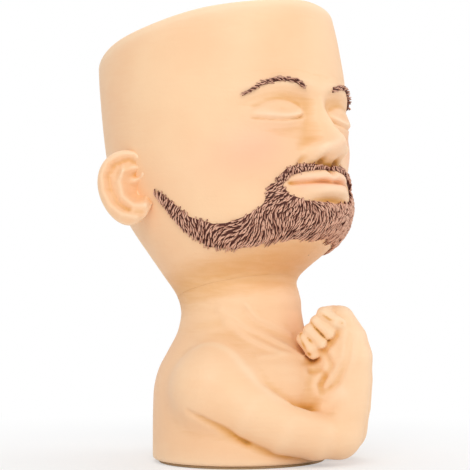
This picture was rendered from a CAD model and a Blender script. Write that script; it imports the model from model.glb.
import bpy
import numpy as np
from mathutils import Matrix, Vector


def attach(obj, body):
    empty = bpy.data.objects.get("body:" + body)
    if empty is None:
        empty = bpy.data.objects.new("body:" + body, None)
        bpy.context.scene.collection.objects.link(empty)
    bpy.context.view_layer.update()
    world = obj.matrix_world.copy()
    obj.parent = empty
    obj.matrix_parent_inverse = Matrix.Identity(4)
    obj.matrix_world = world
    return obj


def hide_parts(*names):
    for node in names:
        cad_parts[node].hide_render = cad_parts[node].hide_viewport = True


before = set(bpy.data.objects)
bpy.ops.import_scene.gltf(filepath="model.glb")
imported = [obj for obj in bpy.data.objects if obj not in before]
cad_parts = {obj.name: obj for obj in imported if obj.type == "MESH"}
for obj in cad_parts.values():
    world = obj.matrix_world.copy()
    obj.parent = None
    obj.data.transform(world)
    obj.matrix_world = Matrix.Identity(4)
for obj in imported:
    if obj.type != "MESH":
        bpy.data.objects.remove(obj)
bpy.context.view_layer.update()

# The body casting: neck, chest, arms and fists. Resin is slushed round a rubber mould, so the piece is
# hollow with an even wall. It is trimmed flat under the base and across the neck, where the head is
# glued on, then sprayed skin colour and wiped with a thin ochre wash that stays in the creases.
MM = 0.001
head_seat = np.array([0.0, 2.5, 78.0])
head_tilt = np.radians(13.0)
head_width, head_depth, head_height = 105.0, 117.4, 112.0
neck_radius, seat_radius = 27.0, 28.0
head_row_shares = np.array(
    [
        (0.680, -0.043, 0.894, 0.570),
        (0.800, -0.068, 0.988, 0.665),
        (0.876, -0.085, 0.971, 0.780),
        (0.933, -0.102, 0.954, 0.885),
        (0.971, -0.111, 0.954, 0.960),
        (0.990, -0.119, 0.971, 0.997),
        (1.000, -0.136, 1.005, 1.010),
        (0.998, -0.145, 1.026, 1.014),
        (0.990, -0.153, 1.026, 1.014),
        (0.983, -0.162, 1.017, 1.009),
        (0.971, -0.170, 1.000, 1.000),
    ]
)
head_step = head_height / len(head_row_shares)
head_rows = np.vstack(
    [
        (neck_radius, 0.0, neck_radius, neck_radius),
        (seat_radius, 0.0, seat_radius, seat_radius),
        head_row_shares * (head_width / 2, head_depth / 2, head_depth / 2, head_depth / 2),
    ]
)


def along_rows(rows, place):
    """A curve through evenly spaced rows, by Catmull-Rom: each stretch is the cubic that leaves a row
    along the line between its two neighbours. The place counts in rows from the first."""
    rows = np.asarray(rows, float)
    low = np.clip(np.floor(place).astype(int), 0, len(rows) - 2)
    t = np.asarray(place - low)
    t = t.reshape(t.shape + (1,) * (rows.ndim - 1))
    before, start = rows[np.maximum(low - 1, 0)], rows[low]
    end, after = rows[low + 1], rows[np.minimum(low + 2, len(rows) - 1)]
    slope = (end - before) * t
    bend = (2 * before - 5 * start + 4 * end - after) * t**2
    turn = (3 * start - before - 3 * end + after) * t**3
    return start + (slope + bend + turn) / 2


def head_section(level):
    """Half width, widest line, reach forward and reach back of the head at a height over its seat."""
    return np.moveaxis(along_rows(head_rows, level / head_step + 1), -1, 0)


def from_head(points):
    """Points on the head's own axes, which lean back, carried to the frame in millimetres."""
    x, y, z = np.moveaxis(points, -1, 0)
    c, s = np.cos(head_tilt), np.sin(head_tilt)
    return np.stack([x, y * c + z * s, z * c - y * s], axis=-1) + head_seat


def smooth_step(value, low, high):
    """Rises from 0 at low to 1 at high, level at both ends."""
    t = np.clip((value - low) / (high - low), 0, 1)
    return t * t * (3 - 2 * t)


def melt(a, b, soft):
    """Union of two distance fields with a fillet as wide as soft where they meet."""
    h = np.clip(0.5 + 0.5 * (b - a) / soft, 0, 1)
    return b + (a - b) * h - soft * h * (1 - h)


def oval_distance(x, y, half_x, half_y):
    """Distance to an ellipse to first order: its implicit value over the length of its gradient."""
    q = np.sqrt((x / half_x) ** 2 + (y / half_y) ** 2) + 1e-9
    return (q - 1) * q / (np.sqrt((x / half_x**2) ** 2 + (y / half_y**2) ** 2) + 1e-9)


def egg_distance(x, y, z, centre, radii):
    """Distance to an ellipsoid to first order."""
    p = [(v - c) / r for v, c, r in zip((x, y, z), centre, radii)]
    q = np.sqrt(p[0] ** 2 + p[1] ** 2 + p[2] ** 2) + 1e-9
    slope = np.sqrt(sum((v / r) ** 2 for v, r in zip(p, radii))) + 1e-9
    return (q - 1) * q / slope


def limb_distance(x, y, z, joints):
    """Distance to a chain of balls joined by straight tapered lengths; a joint is x, y, z, radius."""
    nearest = None
    for start, end in zip(np.array(joints[:-1]), np.array(joints[1:])):
        run = end[:3] - start[:3]
        t = ((x - start[0]) * run[0] + (y - start[1]) * run[1] + (z - start[2]) * run[2]) / (run @ run)
        t = np.clip(t, 0, 1)
        gap = [v - start[i] - t * run[i] for i, v in enumerate((x, y, z))]
        radius = start[3] + t * (end[3] - start[3])
        length = np.sqrt(gap[0] ** 2 + gap[1] ** 2 + gap[2] ** 2) - radius
        nearest = length if nearest is None else np.minimum(nearest, length)
    return nearest


def field_mesh(field, low, step):
    """The zero surface of a sampled field as quads. Each cell that the surface crosses gets one point,
    the mean of the crossings on its edges, and each crossed grid edge joins the four cells round it."""
    shape = np.array(field.shape) - 1
    corners = np.array([(i, j, k) for i in (0, 1) for j in (0, 1) for k in (0, 1)])
    inside = field < 0
    windows = [tuple(slice(c, c + n) for c, n in zip(corner, shape)) for corner in corners]
    count = sum(inside[window].astype(np.int8) for window in windows)
    cells = np.argwhere((count > 0) & (count < 8))
    values = field[tuple((cells[:, None] + corners).T)].T
    total, crossings = np.zeros((len(cells), 3)), np.zeros((len(cells), 1))
    for a in range(8):
        for b in range(a + 1, 8):
            if np.abs(corners[a] - corners[b]).sum() == 1:
                cut = ((values[:, a] < 0) != (values[:, b] < 0))[:, None]
                t = np.where(cut[:, 0], values[:, a] / (values[:, a] - values[:, b] + 1e-12), 0)[:, None]
                total += np.where(cut, corners[a] + t * (corners[b] - corners[a]), 0)
                crossings += cut
    points = low + step * (cells + total / crossings)
    number = np.full(shape, -1)
    number[tuple(cells.T)] = np.arange(len(cells))
    quads = []
    for axis in range(3):
        f, n = np.moveaxis(inside, axis, 0), np.moveaxis(number, axis, 0)
        if axis == 1:
            f, n = np.swapaxes(f, 1, 2), np.swapaxes(n, 1, 2)
        edge = f[:-1, 1:-1, 1:-1] != f[1:, 1:-1, 1:-1]
        i, j, k = np.nonzero(edge)
        ring = np.stack([n[i, j, k], n[i, j + 1, k], n[i, j + 1, k + 1], n[i, j, k + 1]], axis=1)
        out = f[:-1, 1:-1, 1:-1][edge]
        quads.append(np.where(out[:, None], ring, ring[:, ::-1]))
    return points, np.vstack(quads)


def quad_edges(quads):
    """Each side of each quad once, as two columns of point numbers."""
    pairs = np.vstack([quads[:, [0, 1]], quads[:, [1, 2]], quads[:, [2, 3]], quads[:, [3, 0]]])
    return np.unique(np.sort(pairs, axis=1), axis=0)


def relax(points, edges, rounds):
    """Moves each point to the mean of itself and its neighbours, as often as rounds says."""
    ends = np.concatenate([edges[:, 0], edges[:, 1]])
    others = np.concatenate([edges[:, 1], edges[:, 0]])
    weight = 1 + np.bincount(ends, minlength=len(points))
    for turn in range(rounds):
        sums = [np.bincount(ends, points[others, i], len(points)) for i in range(points.shape[1])]
        points = (points + np.stack(sums, axis=1)) / weight[:, None]
    return points


def point_normals(points, quads):
    """The sum of the cross products of the diagonals of the quads round each point, made unit length."""
    a, b, c, d = (points[quads[:, i]] for i in range(4))
    cross = np.cross(c - a, d - b)
    ring = quads.ravel()
    normal = np.stack([np.bincount(ring, np.repeat(cross[:, i], 4), len(points)) for i in range(3)], axis=1)
    return normal / (np.linalg.norm(normal, axis=1, keepdims=True) + 1e-12)


def wash_depth(points, quads, rounds, full):
    """How deep a point lies in a crease: how far a relaxed copy of the surface stands out over it,
    where full is the depth in millimetres that holds all the wash."""
    edges = quad_edges(quads)
    lift = np.einsum("ij,ij->i", relax(points, edges, rounds) - points, point_normals(points, quads))
    return np.clip(relax(lift[:, None], edges, 2)[:, 0] / full, -1, 1)


def make_piece(name, points, faces, material, body, nodes, values=None):
    """A mesh object at the origin from points in millimetres, which rides on a body, stands for CAD
    nodes and carries one number per point for each named attribute."""
    mesh = bpy.data.meshes.new(name)
    mesh.from_pydata((points * MM).tolist(), [], faces.tolist() if isinstance(faces, np.ndarray) else faces)
    for attribute, numbers in (values or {}).items():
        layer = mesh.attributes.new(attribute, "FLOAT", "POINT")
        layer.data.foreach_set("value", np.asarray(numbers, np.float32))
    mesh.polygons.foreach_set("use_smooth", np.ones(len(mesh.polygons), bool))
    mesh.materials.append(material)
    mesh.update()
    piece = bpy.data.objects.new(name, mesh)
    bpy.context.collection.objects.link(piece)
    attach(piece, body)
    if nodes:
        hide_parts(*nodes)
    return piece


def new_material(name):
    """An empty node material with its shader, and a short way to add and join nodes."""
    material = bpy.data.materials.new(name)
    material.use_nodes = True
    tree = material.node_tree
    shader = tree.nodes["Principled BSDF"]

    def node(kind, inputs=None, **settings):
        made = tree.nodes.new(kind)
        for key, value in settings.items():
            setattr(made, key, value)
        for key, value in (inputs or {}).items():
            if isinstance(value, bpy.types.NodeSocket):
                tree.links.new(value, made.inputs[key])
            else:
                made.inputs[key].default_value = value
        return made

    def join(socket, name):
        tree.links.new(socket, shader.inputs[name])

    return material, shader, node, join


def srgb(red, green, blue):
    """A colour given as 0 to 255 on a screen, in the linear light that the shader takes."""
    c = np.array([red, green, blue]) / 255
    return (*np.where(c <= 0.04045, c / 12.92, ((c + 0.055) / 1.055) ** 2.4), 1.0)


def skin_paint():
    """Sprayed peach with broad soft mottling, ochre wash by the wash attribute broken up into fine brush
    streaks, a pink bloom by the blush attribute, a few pinholes of the casting, and a brushed bump."""
    material, shader, node, join = new_material("skin_paint")

    def over(share, under, colour):
        """One colour laid over another by a share."""
        return node("ShaderNodeMix", {"Factor": share, 6: under, 7: colour}, data_type="RGBA").outputs[2]

    def ranged(value, low, high, start=0.0, end=1.0):
        """A value carried from the range low to high to the range start to end."""
        limits = {"Value": value, "From Min": low, "From Max": high, "To Min": start, "To Max": end}
        return node("ShaderNodeMapRange", limits).outputs[0]

    place = node("ShaderNodeTexCoord").outputs["Object"]
    broad = node("ShaderNodeTexNoise", {"Vector": place, "Scale": 26.0, "Detail": 3.0})
    tone = node("ShaderNodeValToRGB", {"Fac": broad.outputs["Fac"]})
    tone.color_ramp.elements[0].position, tone.color_ramp.elements[1].position = 0.32, 0.68
    tone.color_ramp.elements[0].color = srgb(248, 201, 157)
    tone.color_ramp.elements[1].color = srgb(252, 211, 168)
    # Brush streaks run round the piece, so their noise is drawn out sideways
    drawn_out = {"Vector": place, "Scale": (90.0, 90.0, 520.0), "Rotation": (0.2, 0.1, 0.0)}
    stretch = node("ShaderNodeMapping", drawn_out).outputs[0]
    streak = node("ShaderNodeTexNoise", {"Vector": stretch, "Scale": 1.0, "Detail": 4.0, "Distortion": 0.6})
    uneven = ranged(streak.outputs["Fac"], 0.3, 0.7, -0.08, 0.08)
    wash = node("ShaderNodeAttribute", attribute_name="wash").outputs["Fac"]
    held = node("ShaderNodeMath", {0: wash, 1: uneven}, operation="ADD").outputs[0]
    crease = over(ranged(held, 0.04, 0.9), tone.outputs[0], srgb(222, 158, 74))
    dark = over(ranged(held, 0.8, 1.5), crease, srgb(140, 88, 46))
    high = over(ranged(held, -0.1, -0.9, 0.0, 0.6), dark, srgb(255, 226, 192))
    blush = node("ShaderNodeAttribute", attribute_name="blush").outputs["Fac"]
    bloom = over(blush, high, srgb(250, 172, 150))
    # Pinholes: where the skin passes close by the middle of a sparse cell
    cells = node("ShaderNodeTexVoronoi", {"Vector": place, "Scale": 42.0})
    spot = ranged(cells.outputs["Distance"], 0.016, 0.024, 0.75, 0.0)
    join(over(spot, bloom, srgb(118, 78, 48)), "Base Color")
    grain = node("ShaderNodeTexNoise", {"Vector": place, "Scale": 900.0, "Detail": 4.0})
    join(ranged(grain.outputs["Fac"], 0.0, 1.0, 0.42, 0.58), "Roughness")
    rough = node("ShaderNodeMath", {0: grain.outputs["Fac"], 1: streak.outputs["Fac"]}, operation="ADD")
    bump = node("ShaderNodeBump", {"Height": rough.outputs[0], "Strength": 0.16, "Distance": 0.0005})
    join(bump.outputs[0], "Normal")
    shader.inputs["Specular IOR Level"].default_value = 0.35
    return material


skin = skin_paint()

# Sizes of the body on the chest's own axes: to its left, to its back and up. The chest is turned to the
# planter's left under the head. The arms are alike, and the left one is held a little further back.
chest_turn = np.radians(30.0)
base_half_width, base_half_depth, base_level = 46.0, 39.3, 1.2
base_edge_round = 1.6
trunk_step = (head_seat[2] - base_level) * 0.10526
trunk_shares = np.array([0.0, 0.0, 0.0, 0.01, 0.05, 0.22, 0.55, 0.86, 0.97, 1.0, 1.5, 2.0, 2.5])
body_wall, floor_level, collar_radius = 7.0, base_level + 8.0, 20.0
drain_radius, drain_recess_radius, drain_recess_top = 6.0, 10.5, base_level + 3.5
left_arm_setback, arm_parting = 3.3, 3.0
body_cell = 0.72
body_low, body_high = np.array([-57.0, -65.0, -1.0]), np.array([57.0, 44.0, 88.0])


# Lines of the relief, as corners with a height and a breadth
neck_cords = [
    ([(26.5, -8.5, 69.5), (24.5, -13.5, 63.5), (20.5, -19.5, 60.0), (15.0, -25.5, 56.0)], 1.0, 1.3),
    (
        [(27.0, 3.0, 67.0), (27.5, -3.5, 63.5), (27.0, -9.5, 59.5), (23.5, -22.0, 53.5), (20.0, -32.0, 47.0)],
        1.1,
        1.4,
    ),
    ([(28.0, 0.0, 62.0), (29.5, -11.0, 55.0), (27.5, -24.0, 49.0), (17.5, -33.0, 45.5)], 1.0, 1.5),
]
chest_fibres = [
    ([(33.0, -16.5, 47.0), (27.0, -25.5, 48.0), (14.0, -33.5, 46.0)], 0.8, 1.3),
    ([(33.5, -17.5, 43.5), (29.0, -27.0, 42.0), (19.5, -35.0, 40.0)], 0.8, 1.4),
]
collar_fold = ([(20.0, 21.0, 58.0), (28.0, 5.0, 61.5), (29.0, -3.0, 60.0)], -0.3, 3.0)
arm_crease = [
    (50.0, 10.0, 24.0), (50.0, 4.5, 22.0), (47.5, -2.5, 18.5), (45.5, -7.5, 15.0), (42.0, -13.5, 11.0),
]
arm_crease_depth, arm_crease_breadth = 1.0, 1.5
# Crumpled folds between the fingers, the wrist and the chest
palm_folds = [
    [(19.0, -53.0, 56.0), (21.0, -52.0, 46.0), (21.0, -47.0, 35.5), (20.5, -41.0, 31.5)],
    [(19.0, -42.0, 49.0), (20.5, -45.0, 43.5), (20.0, -42.0, 38.0), (20.5, -40.0, 33.0)],
    [(20.5, -35.5, 40.5), (19.5, -40.0, 41.0), (20.0, -42.0, 38.5), (20.5, -40.0, 35.0)],
    [(21.0, -49.5, 61.5), (19.5, -47.0, 56.0), (19.0, -42.5, 50.5), (21.0, -35.5, 47.5)],
]
palm_fold_depth, palm_fold_breadth, palm_fold_lip = 0.6, 1.2, 2.4
# Where more wash is left, or wiped off to a paler crest, than the form alone would hold
finger_creases = [
    [(22.5, -40.0, 66.0), (21.5, -44.5, 63.0), (20.0, -49.5, 61.5)],
    [(21.5, -36.0, 62.0), (20.5, -40.0, 57.5), (19.5, -43.5, 54.0)],
    [(20.5, -31.0, 57.5), (20.5, -35.5, 54.0), (18.5, -38.5, 50.5)],
    [(21.5, -31.0, 56.5), (21.5, -33.0, 52.0), (20.5, -35.5, 48.0)],
]
arm_crest = [
    (38.0, 9.0, 52.0), (39.0, 1.5, 52.5), (40.5, -6.0, 49.0), (42.0, -11.5, 43.0), (41.5, -18.0, 35.5),
    (40.0, -24.0, 30.0), (35.0, -30.0, 26.5), (29.0, -36.0, 24.0), (22.0, -43.0, 26.0), (22.0, -49.0, 32.0),
]
under_arm = arm_crease[1:] + [(38.5, -20.5, 7.5), (33.5, -27.0, 5.5), (31.0, -36.0, 4.5)]
wash_lines = [(line, 1.5, 0.8) for line in finger_creases] + [(line, 0.12, 1.8) for line in palm_folds]
wash_lines += [(under_arm, 0.3, 3.0), (arm_crest, -0.9, 2.8)]
# Muscles as middles and radii, and limbs as chains of x, y, z and radius
shoulder_cap, shoulder_radii = (36.0, 3.0, 33.5), (16.8, 18.0, 17.5)
chest_muscle, chest_radii = (15.0, -20.5, 36.5), (18.0, 14.0, 15.0)
neck_slope = [(13.0, 6.0, 56.5, 8.5), (32.0, 4.0, 42.0, 10.0)]
crook, elbow, wrist = (25.0, -38.5, 13.0, 9.8), (15.5, -46.5, 13.6, 10.4), (12.2, -52.0, 46.0, 8.2)
upper_arm = [(36.5, 1.0, 33.0, 16.0), (37.5, -13.0, 24.0, 13.2), (34.5, -26.0, 16.8, 11.0), crook]
elbow_turn = [crook, elbow, (15.0, -47.4, 10.8, 7.8)]
forearm = [elbow, (13.8, -49.9, 24.0, 9.6), (12.6, -51.9, 36.0, 8.7), wrist]
arm_filling = [(12.0, -37.0, 29.0, 9.0), (12.5, -45.0, 46.0, 7.0)]
hand_back = [wrist, (12.0, -50.6, 54.0, 7.8), (11.5, -46.5, 63.0, 6.2)]
palm = [(13.0, -43.5, 51.0, 5.5), (13.0, -46.5, 59.0, 5.0)]
little_finger = np.array([(8.5, -37.0, 57.0, 3.3), (19.0, -32.2, 54.6, 3.0), (18.6, -36.6, 48.8, 2.9)])
index_finger = np.array([(8.5, -44.0, 66.0, 3.3), (19.0, -41.2, 65.6, 3.0), (18.6, -48.0, 61.0, 2.9)])
thumb = [(7.5, -52.0, 50.0, 3.8), (5.5, -47.0, 60.0, 3.3), (8.0, -41.0, 66.0, 3.0)]


def trunk_sizes(level):
    """Half width, half depth and lean of the trunk at a height: base ellipse, then neck, then seat."""
    share = along_rows(trunk_shares, (level - base_level) / trunk_step)
    neck = np.minimum(share, 1)
    growth = (share - neck) * (seat_radius - neck_radius)
    lean = 0.2 + np.tan(head_tilt) * np.maximum(level - 58.0, 0) ** 2 / 40.0
    wide = base_half_width + neck * (neck_radius - base_half_width) + growth
    deep = base_half_depth + neck * (neck_radius - base_half_depth) + growth
    return wide, deep, lean


def body_head_level(points):
    """Height of points on the chest's axes over the head's seat, square to it."""
    back = points[:, 0] * np.sin(chest_turn) + points[:, 1] * np.cos(chest_turn) - head_seat[1]
    return back * np.sin(head_tilt) + (points[:, 2] - head_seat[2]) * np.cos(head_tilt)


def line_distance(place, corners):
    """Distance to an open line through corners, in two or three directions."""
    nearest = None
    for start, end in zip(np.array(corners[:-1]), np.array(corners[1:])):
        run = end - start
        t = np.clip(sum((v - a) * r for v, a, r in zip(place, start, run)) / (run @ run), 0, 1)
        gap = np.sqrt(sum((v - a - t * r) ** 2 for v, a, r in zip(place, start, run)))
        nearest = gap if nearest is None else np.minimum(nearest, gap)
    return nearest


def body_fields(x, y, z):
    """Two distance fields on the chest's axes, negative inside: the resin with its hollow and holes, and
    the filled outer form with the jaw over it, which tells where the wash can't be wiped off."""
    wide, deep, lean = trunk_sizes(z)
    shift_x, shift_y = lean * np.sin(chest_turn), lean * np.cos(chest_turn)
    world_x = x * np.cos(chest_turn) - y * np.sin(chest_turn)
    world_y = x * np.sin(chest_turn) + y * np.cos(chest_turn) - head_seat[1]
    head_y = world_y * np.cos(head_tilt) - (z - head_seat[2]) * np.sin(head_tilt)
    head_z = world_y * np.sin(head_tilt) + (z - head_seat[2]) * np.cos(head_tilt)
    s, middle, front, back = head_section(np.clip(head_z, -10, 20))
    throat = oval_distance(world_x, head_y - middle, s, np.where(head_y < middle, front, back))
    trunk = oval_distance(x - shift_x, y - shift_y, wide, deep)
    form = trunk + (throat - trunk) * smooth_step(head_z, -14, -3)
    side = np.abs(x)
    # Muscles under the neck: the slope from neck to shoulder, the shoulder caps and the chest
    form = melt(form, limb_distance(side, y, z, neck_slope), 5.0)
    form = melt(form, egg_distance(side, y, z, shoulder_cap, shoulder_radii), 7.0)
    form = melt(form, egg_distance(side, y, z, chest_muscle, chest_radii), 6.0)
    # Raised cords of the neck, the fibres of the chest and the fold over the shoulder
    for ridge, height, breadth in neck_cords + chest_fibres + [collar_fold]:
        form = form - height * np.exp(-((line_distance((side, y, z), ridge) / breadth) ** 2))
    # Upper arm along the side of the chest, with a sharp crease under it that fades to the back, and the
    # forearm standing up before it. The mould can't reach between forearm and chest, so resin fills the gap
    arm_y = y - left_arm_setback * smooth_step(x, -arm_parting, arm_parting)
    form = melt(form, limb_distance(side, arm_y, z, upper_arm), 1.2 + 6.0 * smooth_step(arm_y, -14, 6))
    for limb, soft in ((elbow_turn, 1.6), (forearm, 2.5), (arm_filling, 6.0)):
        form = melt(form, limb_distance(side, arm_y, z, limb), soft)
    crease_gap = line_distance((side, arm_y, z), arm_crease)
    form = form + arm_crease_depth * np.exp(-((crease_gap / arm_crease_breadth) ** 2))
    # Fist: back of the hand, palm, four curled fingers and the thumb on the inner side
    for limb, soft in ((hand_back, 2.0), (palm, 2.5)):
        form = melt(form, limb_distance(side, arm_y, z, limb), soft)
    for share in np.linspace(0, 1, 4):
        finger = little_finger + share * (index_finger - little_finger)
        form = melt(form, limb_distance(side, arm_y, z, finger), 0.35)
    form = melt(form, limb_distance(side, arm_y, z, thumb), 1.0)
    # Each fold of the palm is a groove with a low lip along both sides
    for fold in palm_folds:
        gap = line_distance((side, arm_y, z), fold)
        form = form + palm_fold_depth * np.exp(-((gap / palm_fold_breadth) ** 2))
        form = form - palm_fold_depth / 2 * np.exp(-(((gap - palm_fold_lip) / palm_fold_breadth) ** 2))
    # Flat base with a rounded edge, flat seat for the head, hollow, neck bore and drain
    form = -melt(-form, z - base_level, base_edge_round)
    resin = np.maximum(form, head_z)
    hollow = oval_distance(x - shift_x, y - shift_y, wide - body_wall, deep - body_wall)
    hollow = np.where(head_z > -14, oval_distance(world_x, head_y, collar_radius, collar_radius), hollow)
    resin = np.maximum(resin, -np.maximum(hollow, floor_level - z))
    drain = np.hypot(x, y) - np.where(z < drain_recess_top, drain_recess_radius, drain_radius)
    resin = np.maximum(resin, -np.maximum(drain, z - floor_level - 1))
    return resin, np.where(head_z > 0, throat, form)


def shelter(form, points, low, cell, reach):
    """How sheltered a point of the skin lies: how much more than half of the cube round it, blurred twice
    over the reach, is filled. Flat skin gives 0, a deep crease 1 and a sharp edge -1."""
    full = np.clip(0.5 - form / cell, 0, 1).astype(np.float32)
    width = int(round(reach / cell))
    for axis in (0, 1, 2, 0, 1, 2):
        padded = np.pad(full, [(width + 1, width) if i == axis else (0, 0) for i in range(3)], mode="edge")
        total = np.moveaxis(np.cumsum(padded, axis=axis), axis, 0)
        full = np.moveaxis((total[2 * width + 1 :] - total[: -2 * width - 1]) / (2 * width + 1), 0, axis)
    place = (points - low) / cell
    index = np.clip(np.floor(place).astype(int), 0, np.array(full.shape) - 2)
    part = place - index
    share = np.zeros(len(points))
    for corner in np.array([(i, j, k) for i in (0, 1) for j in (0, 1) for k in (0, 1)]):
        weight = np.prod(np.where(corner == 1, part, 1 - part), axis=1)
        share += weight * full[tuple((index + corner).T)]
    return np.clip((share - 0.5) / 0.25, -1, 1)


body_axes = [np.arange(low, high, body_cell) for low, high in zip(body_low, body_high)]
body_resin, body_form = body_fields(*np.meshgrid(*body_axes, indexing="ij", sparse=True))
body_points, body_quads = field_mesh(body_resin, body_low, body_cell)
body_points = relax(body_points, quad_edges(body_quads), 1)
body_wash = shelter(body_form, body_points, body_low, body_cell, 1.5) * 0.75
body_wash += shelter(body_form, body_points, body_low, body_cell, 5.5) * 0.55
body_wash = relax(body_wash[:, None], quad_edges(body_quads), 3)[:, 0]
left_share = smooth_step(body_points[:, 0], -arm_parting, arm_parting)
arm_place = body_points - np.outer(left_share, [0, left_arm_setback, 0])
arm_place[:, 0] = np.abs(arm_place[:, 0])
for line, strength, breadth in wash_lines:
    body_wash += strength * np.exp(-((line_distance(arm_place.T, line) / breadth) ** 2))
seam_wash = 0.46
body_seam = smooth_step(body_head_level(body_points), -16.0, -1.0)
body_wash += (seam_wash - body_wash) * body_seam
turn_c, turn_s = np.cos(chest_turn), np.sin(chest_turn)
turned = np.stack(
    [
        body_points[:, 0] * turn_c - body_points[:, 1] * turn_s,
        body_points[:, 0] * turn_s + body_points[:, 1] * turn_c,
        body_points[:, 2],
    ],
    axis=1,
)
make_piece(
    "body_casting", turned, body_quads, skin, "bust",
    ("torso", "right_arm", "left_arm", "right_hand", "left_hand"),
    {"wash": body_wash, "blush": np.zeros(len(turned))},
)

# The head: a second slush casting, open at the crown as the planting bowl, with a floor and a collar that
# is glued into the neck. The face is modelled in low relief on the smooth front, then sprayed and washed
# like the body. Its own axes are to the side, to the back and up, leaning back from the seat.
head_wall, bowl_floor, rim_round = 6.0, 7.0, 1.4
bore_radius, collar_length, glue_gap = 16.0, 8.0, 0.15
eye_side, eye_level, lid_half_width, lid_half_height = 20.0, 61.5, 11.0, 6.6
lash_level, lid_fold_level = 57.6, 67.0
nose_foot, nose_step = 35.0, 3.0
nose_reaches = [0.0, 0.6, 7.2, 10.9, 11.5, 10.5, 8.9, 7.2, 5.6, 4.1, 2.8, 1.7, 1.0, 0.4, 0.0]
nose_widths = [7.0, 7.2, 7.4, 7.2, 6.6, 6.0, 5.5, 5.2, 5.0, 4.8, 4.9, 5.2, 5.6, 6.0, 6.0]
mouth_level, mouth_half_width, upper_lip_level, lower_lip_level = 30.0, 19.0, 32.6, 26.7
# Swellings and hollows of the face: height, place to the side, level, and half breadths to the side and up
face_swellings = [
    (1.6, 0.0, 45.5, 4.6, 4.4),  # tip of the nose
    (5.4, 7.6, 43.2, 3.0, 3.2),  # wings of the nose
    (-3.2, 4.4, 39.6, 1.9, 1.2),  # nostrils
    (-3.6, 16.0, 64.5, 12.0, 7.0),  # eye sockets
    (2.4, 18.0, 72.5, 15.0, 4.0),  # ridges under the brows
    (2.0, 30.0, 50.0, 12.0, 9.0),  # cheeks
    (-1.2, 32.0, 33.0, 9.0, 9.0),  # hollows under the cheeks
    (2.6, 0.0, 31.0, 17.0, 12.0),  # round the mouth
    (-0.8, 0.0, 35.6, 2.0, 2.6),  # groove over the upper lip
    (-1.9, 0.0, 22.0, 11.0, 2.6),  # dip under the lower lip
    (2.6, 0.0, 14.5, 11.0, 6.5),  # chin
]


def bump(across, up, half_across, half_up):
    """A round swelling, one high: the bell curve of the distance in both directions."""
    return np.exp(-((across / half_across) ** 2) - (up / half_up) ** 2)


def face_relief(x, level):
    """How far the face stands out from the smooth head: a sum of swellings and creases on both sides."""
    side = np.abs(x)
    nose_place = np.clip((level - nose_foot) / nose_step, 0, len(nose_reaches) - 1)
    reach, breadth = along_rows(nose_reaches, nose_place), along_rows(nose_widths, nose_place)
    relief = reach * np.exp(-((side / breadth) ** 2.4))
    for height, aside, up, half_aside, half_up in face_swellings:
        relief = relief + height * bump(side - aside, level - up, half_aside, half_up)
    # Eyes closed: lid, lash line and the fold over the lid
    along = (side - eye_side) / lid_half_width
    lid = along**2 + ((level - eye_level) / lid_half_height) ** 2
    relief = relief + 4.6 * np.exp(-(lid**1.7))
    corner = smooth_step(np.abs(along), 1.12, 0.9)
    lash = level - lash_level - 2.2 * along**2
    relief = relief + 0.7 * corner * smooth_step(lash, -0.2, 0.5) * smooth_step(lash, 6.0, 0.5)
    relief = relief - 1.1 * corner * np.exp(-((lash / 0.65) ** 2))
    relief = relief - 0.4 * corner * np.exp(-(((level - lid_fold_level + 3.0 * along**2) / 1.0) ** 2))
    # The fold from nose to mouth, and the lips
    fold = side - 12.0 - (41.0 - level) * 0.75
    fold_ends = smooth_step(level, 30.0, 36.0) * smooth_step(level, 44.0, 40.0)
    relief = relief - 0.8 * np.exp(-((fold / 1.8) ** 2)) * fold_ends
    lips = smooth_step(side, mouth_half_width, 9.0)
    bow = 0.9 * np.exp(-((side / 2.2) ** 2)) - 0.5 * np.exp(-(((side - 4.5) / 3.0) ** 2))
    upper_lip = (level - upper_lip_level + bow + 1.2 * (side / mouth_half_width) ** 2) / 2.5
    relief = relief + 2.0 * lips * np.exp(-np.abs(upper_lip) ** 3)
    lower_lip = (level - lower_lip_level) / 3.1
    relief = relief + 2.4 * smooth_step(side, 17.0, 6.0) * np.exp(-np.abs(lower_lip) ** 3)
    parting = level - mouth_level + 0.35 * np.exp(-((side / 3.0) ** 2)) - 0.6 * (side / mouth_half_width) ** 2
    return relief - 2.0 * smooth_step(side, 20.5, 17.0) * np.exp(-((parting / 0.9) ** 2))


def head_skin(turn, level):
    """A point on the outer skin of the head at an angle from the middle of the face and a height: two half
    ellipses that share their widest line, the front one pushed out by the relief of the face."""
    turn, level = np.broadcast_arrays(turn, level)
    s, middle, front, back = head_section(level)
    x = s * np.sin(turn)
    y = middle - np.where(np.cos(turn) > 0, front, back) * np.cos(turn)
    y = y - face_relief(x, level) * smooth_step(np.cos(turn), 0.1, 0.4)
    return np.stack([x, y, level], axis=-1)


def ring_quads(rows, columns, closed_rows=True):
    """The quads of a grid that closes on itself across its columns and, if asked, across its rows."""
    number = np.arange(rows * columns).reshape(rows, columns)
    above = np.roll(number, -1, axis=0) if closed_rows else number[1:]
    here = number if closed_rows else number[:-1]
    quads = np.stack([here, np.roll(here, -1, axis=1), np.roll(above, -1, axis=1), above], axis=-1)
    return quads.reshape(-1, 4)


head_columns = 400
spread = np.linspace(-1, 1, head_columns, endpoint=False)
head_turns = np.pi * spread * (0.55 + 0.45 * spread**2)
seam_cover, seam_lap = 1.2, 0.08
face_foot, face_top = 4.0, 80.0
head_levels = np.concatenate(
    [
        [-seam_cover, -seam_cover + seam_lap],
        np.linspace(0, face_foot, 6)[:-1],
        np.linspace(face_foot, face_top, 128),
        np.linspace(face_top, head_height - rim_round, 26)[1:],
    ]
)
skin_rows = head_skin(head_turns, head_levels[:, None])
# The paint runs on over the glue line, so the skin laps a little over the top of the neck
skin_rows[:, :, :2] *= np.where(head_levels < 0, 1 + seam_lap / seat_radius, 1)[:, None, None]


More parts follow.
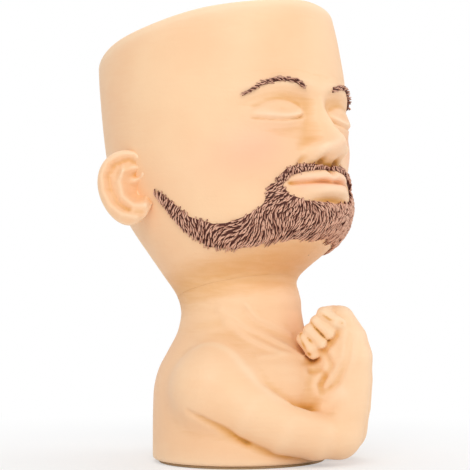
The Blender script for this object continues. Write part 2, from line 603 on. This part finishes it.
def plain_row(level, half_width, middle, front, back):
    """One row of the hidden side of the head, with no face on it."""
    reach = np.where(np.cos(head_turns) > 0, front, back)
    x, y = half_width * np.sin(head_turns), middle - reach * np.cos(head_turns)
    return np.stack([x, y, np.full(head_columns, level)], axis=-1)


rim_s, rim_middle, rim_front, rim_back = head_section(np.array(head_height))
hidden_rows = []
for angle in np.linspace(0, np.pi, 7)[1:-1]:
    inset = rim_round * (1 - np.cos(angle)) + (head_wall - 2 * rim_round) * (angle > np.pi / 2)
    lift = head_height - rim_round * (1 - np.sin(angle))
    hidden_rows.append(plain_row(lift, rim_s - inset, rim_middle, rim_front - inset, rim_back - inset))
for level in np.linspace(head_height - rim_round, head_step + bowl_floor, 30):
    s, middle, front, back = head_section(np.array(level - bowl_floor))
    hidden_rows.append(plain_row(level, s - head_wall, middle, front - head_wall, back - head_wall))
floor_edge = head_section(np.array(head_step)) - np.array([1, 0, 1, 1]) * head_wall
bore_edge = np.array([bore_radius, 0, bore_radius, bore_radius])
for share in (0.03, 0.5, 0.97, 1.0):
    hidden_rows.append(plain_row(head_step + bowl_floor, *(floor_edge + share * (bore_edge - floor_edge))))
for level in (head_step + bowl_floor - 0.4, 4.0, 0.4 - collar_length, -collar_length):
    hidden_rows.append(plain_row(level, bore_radius, 0, bore_radius, bore_radius))
for radius, level in (
    (bore_radius + 0.4, -collar_length),
    (collar_radius - glue_gap, -collar_length),
    (collar_radius - glue_gap, -0.2),
    (collar_radius - glue_gap + 0.2, 0),
    (seat_radius - 0.3, 0),
):
    hidden_rows.append(plain_row(level, radius, 0, radius, radius))
head_points = np.concatenate([skin_rows, np.array(hidden_rows)])
# The rim is cut and rubbed down by hand, so it runs a little up and down
rim_wave = 0.3 * np.sin(3 * head_turns + 0.6) + 0.22 * np.sin(7 * head_turns + 2.0)
head_points[:, :, 2] += rim_wave * smooth_step(head_points[:, :, 2], head_height - 8.0, head_height)
head_quads = ring_quads(len(head_points), head_columns)
flat_points = head_points.reshape(-1, 3)
head_wash = wash_depth(flat_points, head_quads, 6, 0.3) * 0.5
head_wash += wash_depth(flat_points, head_quads, 40, 1.2) * 0.7
head_wash += (seam_wash - head_wash) * smooth_step(flat_points[:, 2], 16.0, 1.0)
cheek_side, cheek_level = 30.0, 47.0
head_blush = 0.32 * bump(np.abs(flat_points[:, 0]) - cheek_side, flat_points[:, 2] - cheek_level, 13.0, 11.0)
head_blush += 0.15 * bump(flat_points[:, 0], flat_points[:, 2] - 45.0, 8.0, 5.0)
lip_tint = np.exp(-(((flat_points[:, 2] - 29.8) / 4.0) ** 2))
lip_tint *= smooth_step(np.abs(flat_points[:, 0]), mouth_half_width, 14.0)
head_blush = (head_blush + 0.3 * lip_tint) * (flat_points[:, 1] < 0)
make_piece(
    "head", from_head(flat_points), head_quads, skin, "bust", ("head_bowl",),
    {"wash": head_wash, "blush": head_blush},
)

# The ears: small solid castings glued to the sides of the head, painted and washed with it. Each is a
# dish with a rolled rim, an inner ridge, a deep bowl, a flap in front of it and a soft lobe.
ear_height, ear_width, ear_half_thickness = 34.0, 25.0, 3.0
ear_level, ear_setback, ear_sink, ear_flare = 44.5, -5.0, 3.4, np.radians(40.0)
ear_rings, ear_spokes = 50, 160
spokes = np.linspace(0, 2 * np.pi, ear_spokes, endpoint=False)
out = np.linspace(0.0, 1.0, ear_rings)[1:, None] ** 0.85
# The outline is an egg: fuller at the top and to the back, narrow at the lobe
outline_p = ear_width / 2 * np.cos(spokes) * (1 + 0.12 * np.sin(spokes))
outline_q = ear_height / 2 * np.sin(spokes)
ear_rim_line = [
    (8.6, 5.0), (9.8, 10.2), (6.0, 14.6), (0.0, 15.4), (-6.8, 12.8),
    (-10.2, 6.5), (-10.4, -0.5), (-8.2, -7.0), (-3.6, -12.2), (2.5, -14.6),
]
ear_groove_line = [
    (6.4, 9.5), (2.6, 12.0), (-3.2, 11.2), (-7.0, 6.8), (-7.0, 0.5), (-4.8, -6.2), (-0.6, -10.2),
]
ear_fold_line = [(7.6, -9.6), (2.4, -8.4), (-1.8, -3.6), (-2.4, 2.5), (0.4, 6.8)]
ear_fork_lines = [[(0.4, 6.8), (5.0, 8.0)], [(-1.4, 4.8), (0.2, 9.6)]]
ear_root_line = [(9.5, 4.6), (4.0, 2.6)]


def ear_relief(p, q):
    """Height of the ear's outer face over its plane, forward and up from its middle: a rolled rim, a groove
    inside it, a forked fold, the bowl with the root of the rim across it, the flap and the lobe."""
    height = 1.0 + 1.9 * np.exp(-((line_distance((p, q), ear_rim_line) / 2.2) ** 2))
    height = height - 1.0 * np.exp(-((line_distance((p, q), ear_groove_line) / 1.5) ** 2))
    height = height + 1.7 * np.exp(-((line_distance((p, q), ear_fold_line) / 2.2) ** 2))
    for fork in ear_fork_lines:
        height = height + 0.8 * np.exp(-((line_distance((p, q), fork) / 1.5) ** 2))
    height = height - 5.6 * bump(p - 4.6, q + 1.8, 4.2, 5.0) - 2.4 * bump(p - 5.2, q - 5.4, 3.0, 2.0)
    height = height + 1.3 * np.exp(-((line_distance((p, q), ear_root_line) / 1.4) ** 2))
    height = height + 2.2 * bump(p - 10.2, q + 3.0, 1.8, 2.8) + 0.9 * bump(p + 1.0, q + 13.0, 5.0, 3.6)
    return height - 5.0 * smooth_step(p, 7.0, 12.5)


p, q = out * outline_p, out * outline_q
front_height = ear_relief(p, q) * np.sqrt(np.maximum(1 - out**10, 0))
back_height = -(ear_half_thickness + 1.4 * (1 - out**2)) * np.sqrt(np.maximum(1 - out**4, 0)) + 0 * p
middle_front = np.array([[0.0, 0.0, ear_relief(np.zeros(1), np.zeros(1))[0]]])
middle_back = np.array([[0.0, 0.0, -ear_half_thickness - 1.4]])
front_side = np.stack([p, q, front_height], axis=-1)
back_side = np.stack([p, q, back_height], axis=-1)[-2::-1]
shell = np.concatenate([front_side, back_side])
ear_local = np.concatenate([middle_front, shell.reshape(-1, 3), middle_back])
ear_quads = ring_quads(len(shell), ear_spokes, closed_rows=False) + 1
last_ring = 1 + (len(shell) - 1) * ear_spokes + np.arange(ear_spokes)
first_ring = 1 + np.arange(ear_spokes)
fan_front = np.stack([np.zeros(ear_spokes, int), first_ring, np.roll(first_ring, -1)], axis=1)
fan_back = np.stack([np.full(ear_spokes, len(ear_local) - 1), np.roll(last_ring, -1), last_ring], axis=1)
ear_faces = fan_front.tolist() + ear_quads[:, ::-1].tolist() + fan_back.tolist()
ear_wash = wash_depth(ear_local, ear_quads[:, ::-1], 6, 0.25) * 0.6
ear_wash += wash_depth(ear_local, ear_quads[:, ::-1], 25, 0.9) * 0.7
ear_root = ear_sink - head_section(np.array(ear_level))[0]
flare_c, flare_s = np.cos(ear_flare), np.sin(ear_flare)
ear_across, ear_out = np.array([flare_s, -flare_c, 0]), np.array([-flare_c, -flare_s, 0])
along_ear = ear_local[:, [0]] - ear_width / 2
placed = np.array([ear_root, ear_setback, ear_level]) + along_ear * ear_across + ear_local[:, [2]] * ear_out
placed = placed + ear_local[:, [1]] * np.array([0.0, 0.0, 1.0])
for ear_name, mirror_x in (("right_ear", 1.0), ("left_ear", -1.0)):
    faces = ear_faces if mirror_x > 0 else [face[::-1] for face in ear_faces]
    mirrored = placed * np.array([mirror_x, 1.0, 1.0])
    make_piece(
        ear_name, from_head(mirrored), faces, skin, "bust", (ear_name,),
        {"wash": ear_wash, "blush": np.full(len(placed), 0.03)},
    )

# The beard, the moustache and the brows: raised hair modelled on the head in short chunky locks. It is
# brushed dark brown, and the tops of the locks are dry-brushed lighter.
hair_thickness = 2.0


def hair_paint():
    """Dark brown in the gaps and a pale warm brown on the tops of the locks, by the tip attribute, with a
    scatter from lock to lock."""
    material, shader, node, join = new_material("hair_paint")
    place = node("ShaderNodeTexCoord").outputs["Object"]
    tip = node("ShaderNodeAttribute", attribute_name="tip")
    streak = node("ShaderNodeTexNoise", {"Vector": place, "Scale": 700.0, "Detail": 3.0})
    mixed = node("ShaderNodeMath", {0: streak.outputs["Fac"], 1: 0.35}, operation="MULTIPLY")
    total = node("ShaderNodeMath", {0: tip.outputs["Fac"], 1: mixed.outputs[0]}, operation="ADD")
    ramp = node("ShaderNodeValToRGB", {"Fac": total.outputs[0]})
    ramp.color_ramp.elements[0].position, ramp.color_ramp.elements[1].position = 0.2, 1.05
    ramp.color_ramp.elements[0].color = srgb(92, 48, 38)
    ramp.color_ramp.elements[1].color = srgb(234, 186, 160)
    middle = ramp.color_ramp.elements.new(0.62)
    middle.color = srgb(168, 114, 94)
    join(ramp.outputs[0], "Base Color")
    bump_node = node("ShaderNodeBump", {"Height": streak.outputs["Fac"], "Strength": 0.3, "Distance": 0.0003})
    join(bump_node.outputs[0], "Normal")
    shader.inputs["Roughness"].default_value = 0.6
    shader.inputs["Specular IOR Level"].default_value = 0.3
    return material


hair = hair_paint()
hair_random = np.random.default_rng(17)


def head_normal(turn, level):
    """Outward direction of the head's skin: the cross product of two short steps along it."""
    step = 0.004
    around = head_skin(turn + step, level) - head_skin(turn - step, level)
    up = head_skin(turn, level + 0.2) - head_skin(turn, level - 0.2)
    normal = np.cross(around, up)
    return normal / np.linalg.norm(normal, axis=-1, keepdims=True)


hair_radius = 50.0
lock_places = np.array([-0.5, -0.25, 0.0, 0.25, 0.5])
lock_tapers = np.array([0.45, 0.9, 1.0, 0.8, 0.12])
lock_lifts = np.array([0.1, 0.8, 1.0, 0.95, 0.5])
lock_tones = np.array([-0.25, -0.05, 0.05, 0.1, 0.0])


def hair_piece(name, turns, low, high, flow, spacing, lock_length, lock_width, swirl):
    """Raised hair over a band of the head, given by its lower and upper edge at each angle. A closed pad
    with a rounded back follows the skin, and tapered, curved, four-sided locks lie on it along the flow,
    which gives the run of the hair, around and up, at each place. The swirl turns the run to and fro by
    two crossing waves, and each lock bends off its run by the square of the way along it."""
    across = np.linspace(0, 1, 22)[:, None]
    levels = low + across * (high - low)
    grid_turns = np.broadcast_to(turns, levels.shape)
    normals = head_normal(grid_turns, levels)
    skin_points = head_skin(grid_turns, levels)
    end = np.linspace(0, 1, len(turns))
    rounding = np.sqrt(np.clip(4 * across * (1 - across), 0, 1))
    rounding = rounding * np.clip(25 * np.minimum(end, 1 - end), 0, 1) ** 0.5
    pad_height = -0.6 + (hair_thickness - 0.5) * rounding
    outer = skin_points + normals * pad_height[..., None]
    inner = skin_points - normals * 1.6
    layers = np.concatenate([outer, inner[::-1]])
    rows, columns = layers.shape[:2]
    number = np.arange(rows * columns).reshape(rows, columns)
    above = np.roll(number, -1, axis=0)
    quads = np.stack([number[:, :-1], number[:, 1:], above[:, 1:], above[:, :-1]], axis=-1).reshape(-1, 4)
    half = rows // 2
    ends = []
    for i, turn_over in ((0, True), (-1, False)):
        front_column, back_column = number[:half, i], number[half:, i][::-1]
        cap = np.stack([front_column[:-1], front_column[1:], back_column[1:], back_column[:-1]], axis=1)
        ends.append(cap[:, ::-1] if turn_over else cap)
    quads = np.vstack([quads] + ends)

    # Locks: roots on a shaken net over the band, with dark gaps between one lock and the next
    net_across = np.arange(turns[0] * hair_radius, turns[-1] * hair_radius, spacing)
    net_up = np.arange(low.min(), high.max(), 1.6 * spacing)
    root_across, root_level = np.meshgrid(net_across, net_up)
    root_across = root_across + spacing / 2 * (np.arange(len(net_up)) % 2)[:, None]
    root_across = root_across + spacing * hair_random.uniform(-0.32, 0.32, root_across.shape)
    root_level = root_level + spacing * hair_random.uniform(-0.6, 0.6, root_level.shape)
    root_turn = np.clip(root_across / hair_radius, turns[0], turns[-1])
    root_low, root_high = np.interp(root_turn, turns, low), np.interp(root_turn, turns, high)
    within = np.abs(root_level - (root_low + root_high) / 2) < 0.46 * (root_high - root_low)
    root_turn, root_level, root_across = root_turn[within], root_level[within], root_across[within]
    count = len(root_turn)
    run_around, run_up = flow(root_turn, root_level)
    wave = np.sin(root_across / 4.6 + root_level / 7.9 + 0.8)
    wave = wave + 0.7 * np.sin(root_level / 3.1 - root_across / 9.7)
    swing = swirl * wave + hair_random.normal(0, 0.16, count)
    swing_c, swing_s = np.cos(swing), np.sin(swing)
    run_around, run_up = run_around * swing_c - run_up * swing_s, run_around * swing_s + run_up * swing_c
    curl = 2.2 * swirl * np.sin(root_across / 3.4 + root_level / 5.2 + 2.1)
    curl = curl + hair_random.normal(0, 0.3, count)
    length = lock_length * hair_random.uniform(0.75, 1.2, count)
    width = lock_width * hair_random.uniform(0.8, 1.2, count)
    along = lock_places * length[:, None]
    aside = (curl / 2 * length)[:, None] * lock_places**2
    path_turn = root_turn[:, None] + (along * run_around[:, None] - aside * run_up[:, None]) / hair_radius
    path_level = root_level[:, None] + along * run_up[:, None] + aside * run_around[:, None]
    path_low, path_high = np.interp(path_turn, turns, low), np.interp(path_turn, turns, high)
    share_path = np.clip((path_level - path_low) / (path_high - path_low), 0, 1)
    pad = -0.6 + (hair_thickness - 0.5) * np.sqrt(np.clip(4 * share_path * (1 - share_path), 0, 1))
    height = np.maximum(pad, -0.1) + (lock_lifts - 0.3) * hair_random.uniform(0.7, 1.2, count)[:, None]
    up_way = head_normal(path_turn, path_level)
    centre = head_skin(path_turn, path_level) + up_way * height[..., None]
    heading = np.gradient(centre, axis=1)
    side_way = np.cross(heading, up_way)
    side_way /= np.linalg.norm(side_way, axis=-1, keepdims=True)
    half_width = (width[:, None] * lock_tapers / 2)[..., None]
    lock = np.stack(
        [
            centre + side_way * half_width,
            centre + up_way * half_width * 1.1,
            centre - side_way * half_width,
            centre - up_way * half_width * 1.6,
        ],
        axis=2,
    )
    first = layers.size // 3 + np.arange(count)[:, None, None] * 20
    corner = np.arange(4)
    ringed = np.stack([corner, np.roll(corner, -1), np.roll(corner, -1) + 4, corner + 4], axis=1)
    sides = (np.arange(4)[:, None, None] * 4 + ringed).reshape(-1, 4)
    lock_quads = np.concatenate([sides, [[3, 2, 1, 0], [16, 17, 18, 19]]])
    lock_quads = (first + lock_quads).reshape(-1, 4)
    tone = hair_random.uniform(0.3, 0.8, count)[:, None, None]
    lock_tip = tone + lock_tones[:, None] + np.array([-0.3, 0.35, -0.3, -0.7])
    tips = np.concatenate([np.full(layers.size // 3, -0.1), lock_tip.ravel()])
    points = np.concatenate([layers.reshape(-1, 3), lock.reshape(-1, 3)])
    faces = np.vstack([quads, lock_quads])
    make_piece(name, from_head(points), faces, hair, "bust", (name,), {"tip": tips})


beard_end = np.radians(89.0)
beard_turns = np.linspace(-beard_end, beard_end, 520)
beard_level = 22.0
beard_side = np.abs(head_skin(beard_turns, beard_level)[:, 0])
beard_middle, beard_front = head_section(np.array(beard_level))[1:3]
beard_y = beard_middle - beard_front * np.cos(beard_turns)
low_places, low_levels = [-75.0, -36.0, -22.0, -13.5, -8.2, -5.0], [7.5, 8.1, 11.4, 19.8, 30.9, 38.0]
high_places = [-75.0, -39.9, -28.2, -18.8, -12.6, -7.6, -5.0]
high_levels = [18.0, 18.3, 20.4, 25.8, 33.9, 40.0, 41.0]
strap_low = np.interp(beard_y, low_places, low_levels)
strap_high = np.interp(beard_y, high_places, high_levels)
chin_sides = [0.0, 13.7, 19.0, 20.4, 23.2, 24.6, 25.6, 27.2, 29.6, 33.4, 38.0]
chin_tops = [21.0, 23.1, 26.5, 32.5, 32.4, 30.6, 27.6, 24.4, 22.0, 20.2, 19.2]
beard_high = np.maximum(np.interp(beard_side, chin_sides, chin_tops), strap_high)


def beard_flow(turn, level):
    """Down on the chin, spreading to the sides, and down and back across the strap along the jaw."""
    side = np.sign(turn)
    jaw = smooth_step(np.abs(turn), 0.45, 0.75)
    around = side * 0.7 * jaw + side * 0.35 * (1 - jaw) * np.abs(turn) / 0.45
    up = -0.75 * jaw - 1.0 * (1 - jaw)
    size = np.hypot(around, up)
    return around / size, up / size


hair_piece("beard", beard_turns, strap_low, beard_high, beard_flow, 1.05, 2.9, 0.8, 0.5)

lip_turns = np.linspace(-0.53, 0.53, 130)
moustache_level = 35.0
lip_side = np.abs(head_skin(lip_turns, moustache_level)[:, 0])
lip_high = np.interp(lip_side, [0.0, 4.0, 13.3, 19.0, 24.6], [37.0, 37.8, 38.8, 37.2, 32.5])
lip_low = np.interp(lip_side, [0.0, 11.4, 18.0, 20.4, 24.6], [35.4, 34.8, 33.6, 31.5, 29.5])


def lip_flow(turn, level):
    """Down and away from the middle."""
    around = np.sign(turn) * 0.55 + 0 * level
    return around, -np.sqrt(1 - around**2)


hair_piece("moustache", lip_turns, lip_low, lip_high, lip_flow, 0.9, 2.2, 0.7, 0.35)

for brow_name, brow_side in (("right_brow", -1.0), ("left_brow", 1.0)):
    brow_x = np.linspace(8.8, 34.2, 70)
    brow_turns = np.arcsin(brow_x / head_section(np.array(71.0))[0])
    brow_high = np.interp(brow_x, [8.8, 14.0, 21.0, 28.0, 34.4], [72.6, 74.8, 75.9, 74.2, 70.2])
    brow_low = np.interp(brow_x, [8.8, 14.0, 20.6, 28.0, 34.0], [70.6, 72.8, 73.9, 72.5, 69.2])
    order = slice(None, None, int(brow_side))

    def brow_flow(turn, level):
        """Away from the middle, a little up at first."""
        return np.sign(turn) * 0.97 + 0 * level, 0.24 + 0 * turn

    turned_brow = brow_side * brow_turns[order]
    hair_piece(
        brow_name, turned_brow, brow_low[order], brow_high[order], brow_flow, 0.8, 2.8, 0.56, 0.12
    )

# The drain plug: a hat-shaped stopper of black rubber, moulded in one piece. It is pushed up from below into
# the hole in the base floor, where its own squeeze holds it, so it can be pulled out again.
plug_profile = np.array(
    [
        (0.05, 2.0), (9.6, 2.0), (10.2, 2.15), (10.4, 2.7), (10.4, 3.9), (10.2, 4.45), (9.6, 4.6), (6.2, 4.6),
        (5.9, 4.8), (5.9, 7.0), (5.9, 9.1), (5.75, 9.4), (5.2, 10.9), (4.9, 11.2), (0.05, 11.2),
    ]
)
plug_columns = 64
plug_turns = np.linspace(0, 2 * np.pi, plug_columns, endpoint=False)
plug_points = np.stack(
    [
        plug_profile[:, [0]] * np.cos(plug_turns),
        plug_profile[:, [0]] * np.sin(plug_turns),
        np.broadcast_to(plug_profile[:, [1]], (len(plug_profile), plug_columns)),
    ],
    axis=-1,
).reshape(-1, 3)
plug_faces = ring_quads(len(plug_profile), plug_columns, closed_rows=False).tolist()
plug_faces.append(list(range(plug_columns))[::-1])
plug_faces.append(list(range(len(plug_points) - plug_columns, len(plug_points))))
rubber, rubber_shader, rubber_node, rubber_join = new_material("plug_rubber")
rubber_place = rubber_node("ShaderNodeTexCoord").outputs["Object"]
rubber_grain = rubber_node("ShaderNodeTexNoise", {"Vector": rubber_place, "Scale": 1200.0, "Detail": 4.0})
rubber_tone = rubber_node("ShaderNodeValToRGB", {"Fac": rubber_grain.outputs["Fac"]})
rubber_tone.color_ramp.elements[0].color = srgb(30, 30, 31)
rubber_tone.color_ramp.elements[1].color = srgb(52, 51, 50)
rubber_join(rubber_tone.outputs[0], "Base Color")
rubber_relief = {"Height": rubber_grain.outputs["Fac"], "Strength": 0.2, "Distance": 0.0002}
rubber_bump = rubber_node("ShaderNodeBump", rubber_relief)
rubber_join(rubber_bump.outputs[0], "Normal")
rubber_shader.inputs["Roughness"].default_value = 0.75
make_piece("drain_plug_rubber", plug_points, plug_faces, rubber, "plug", ("drain_plug",))

# The base pad: thin tan felt, die-cut to the oval of the base with a round hole for the plug. It is glued on
# under the base, so that the resin doesn't scratch what it stands on.
pad_thickness, pad_inset, pad_round = base_level, 2.5, 0.3
pad_columns = 140
pad_turns = np.linspace(0, 2 * np.pi, pad_columns, endpoint=False)
pad_rows = []
for share, level in (
    (0.0, pad_round), (0.012, 0.0), (0.5, 0.0), (0.988, 0.0), (1.0, pad_round),
    (1.0, pad_thickness - pad_round), (0.988, pad_thickness), (0.5, pad_thickness),
    (0.012, pad_thickness), (0.0, pad_thickness - pad_round),
):
    half_w = drain_recess_radius + share * (base_half_width - pad_inset - drain_recess_radius)
    half_d = drain_recess_radius + share * (base_half_depth - pad_inset - drain_recess_radius)
    x, y = half_w * np.cos(pad_turns), half_d * np.sin(pad_turns)
    flat = np.full(pad_columns, level)
    pad_rows.append(np.stack([x * turn_c - y * turn_s, x * turn_s + y * turn_c, flat], axis=-1))
pad_points = np.concatenate(pad_rows)
pad_quads = ring_quads(len(pad_rows), pad_columns)[:, ::-1]
felt, felt_shader, felt_node, felt_join = new_material("pad_felt")
felt_place = felt_node("ShaderNodeTexCoord").outputs["Object"]
felt_nap = {"Vector": felt_place, "Scale": 1500.0, "Detail": 6.0, "Distortion": 1.5}
felt_fibre = felt_node("ShaderNodeTexNoise", felt_nap)
felt_tone = felt_node("ShaderNodeValToRGB", {"Fac": felt_fibre.outputs["Fac"]})
felt_tone.color_ramp.elements[0].color = srgb(176, 142, 106)
felt_tone.color_ramp.elements[1].color = srgb(214, 182, 142)
felt_join(felt_tone.outputs[0], "Base Color")
felt_relief = {"Height": felt_fibre.outputs["Fac"], "Strength": 0.6, "Distance": 0.0005}
felt_bump = felt_node("ShaderNodeBump", felt_relief)
felt_join(felt_bump.outputs[0], "Normal")
felt_shader.inputs["Roughness"].default_value = 0.95
make_piece("felt_pad", pad_points, pad_quads, felt, "bust", ("base_pad",))

# Floor, light and camera of the studio. The floor is plain and pale; soft lamps stand round the object.
floor_mesh = bpy.data.meshes.new("studio_floor")
floor_mesh.from_pydata([(-6, -6, 0), (6, -6, 0), (6, 6, 0), (-6, 6, 0)], [], [(0, 1, 2, 3)])
studio_floor = bpy.data.objects.new("studio_floor", floor_mesh)
bpy.context.collection.objects.link(studio_floor)


def white_to_camera(tree, shaded, share=None):
    """Mixes plain white into what the camera and mirror or glass rays see, wholly or by a share, and leaves
    the given shader to all other rays."""
    path = tree.nodes.new("ShaderNodeLightPath")
    seen = path.outputs["Is Camera Ray"]
    for ray in ("Is Glossy Ray", "Is Transmission Ray"):
        either = tree.nodes.new("ShaderNodeMath")
        either.operation = "MAXIMUM"
        tree.links.new(seen, either.inputs[0])
        tree.links.new(path.outputs[ray], either.inputs[1])
        seen = either.outputs[0]
    if share:
        part = tree.nodes.new("ShaderNodeMath")
        part.operation = "MULTIPLY"
        tree.links.new(seen, part.inputs[0])
        tree.links.new(share, part.inputs[1])
        seen = part.outputs[0]
    white = tree.nodes.new("ShaderNodeEmission" if shaded.type != "BACKGROUND" else "ShaderNodeBackground")
    white.inputs["Color"].default_value = (1, 1, 1, 1)
    white.inputs["Strength"].default_value = 1.0
    mix = tree.nodes.new("ShaderNodeMixShader")
    tree.links.new(seen, mix.inputs[0])
    tree.links.new(shaded.outputs[0], mix.inputs[1])
    tree.links.new(white.outputs[0], mix.inputs[2])
    return mix


floor_paint = bpy.data.materials.new("studio_floor")
floor_paint.use_nodes = True
floor_tree = floor_paint.node_tree
floor_shader = floor_tree.nodes["Principled BSDF"]
floor_shader.inputs["Base Color"].default_value = (0.9, 0.9, 0.9, 1)
floor_shader.inputs["Roughness"].default_value = 0.9
# Near the object the floor shows its shade, and further out it fades to the white of the background
floor_place = floor_tree.nodes.new("ShaderNodeTexCoord")
floor_reach = floor_tree.nodes.new("ShaderNodeVectorMath")
floor_reach.operation = "LENGTH"
floor_tree.links.new(floor_place.outputs["Object"], floor_reach.inputs[0])
floor_fade = floor_tree.nodes.new("ShaderNodeMapRange")
floor_fade.interpolation_type = "SMOOTHSTEP"
floor_fade.inputs["From Min"].default_value, floor_fade.inputs["From Max"].default_value = 0.05, 0.32
floor_fade.inputs["To Min"].default_value = 0.45
floor_tree.links.new(floor_reach.outputs["Value"], floor_fade.inputs["Value"])
floor_mix = white_to_camera(floor_tree, floor_shader, floor_fade.outputs[0])
floor_tree.links.new(floor_mix.outputs[0], floor_tree.nodes["Material Output"].inputs["Surface"])
floor_mesh.materials.append(floor_paint)

world = bpy.data.worlds.new("studio")
bpy.context.scene.world = world
world.use_nodes = True
sky = world.node_tree.nodes["Background"]
sky.inputs["Color"].default_value = (1, 1, 1, 1)
sky.inputs["Strength"].default_value = 0.53
sky_mix = white_to_camera(world.node_tree, sky)
world.node_tree.links.new(sky_mix.outputs[0], world.node_tree.nodes["World Output"].inputs["Surface"])

for lamp_name, lamp_place, lamp_size, lamp_power in (
    ("key_lamp", (-0.85, -0.75, 0.75), 0.7, 6.6),
    ("fill_lamp", (0.9, -0.7, 0.5), 0.8, 3.2),
    ("top_lamp", (0.1, 0.2, 1.1), 0.8, 3.2),
):
    lamp_data = bpy.data.lights.new(lamp_name, "AREA")
    lamp_data.size, lamp_data.energy = lamp_size, lamp_power
    lamp = bpy.data.objects.new(lamp_name, lamp_data)
    lamp.location = lamp_place
    lamp.rotation_euler = (Vector((0, 0, 0.1)) - Vector(lamp_place)).to_track_quat("-Z", "Y").to_euler()
    bpy.context.collection.objects.link(lamp)

picture_size, focal_pixels, axis_pixel = 470, 1480.0, 242.0
camera_azimuth, camera_pitch = np.radians(-45.6), np.radians(3.06)
camera_distance, camera_height, sensor_width = 0.670, 0.0653, 36.0
camera_data = bpy.data.cameras.new("camera")
camera_data.sensor_width = sensor_width
camera_data.lens = focal_pixels / picture_size * sensor_width
camera = bpy.data.objects.new("camera", camera_data)
camera.location = (
    camera_distance * np.sin(camera_azimuth),
    -camera_distance * np.cos(camera_azimuth),
    camera_height,
)
aside = np.arctan((axis_pixel - picture_size / 2) / focal_pixels)
camera.rotation_euler = (np.pi / 2 + camera_pitch, 0, camera_azimuth + aside)
bpy.context.collection.objects.link(camera)
bpy.context.scene.camera = camera
bpy.context.scene.view_settings.view_transform = "Standard"
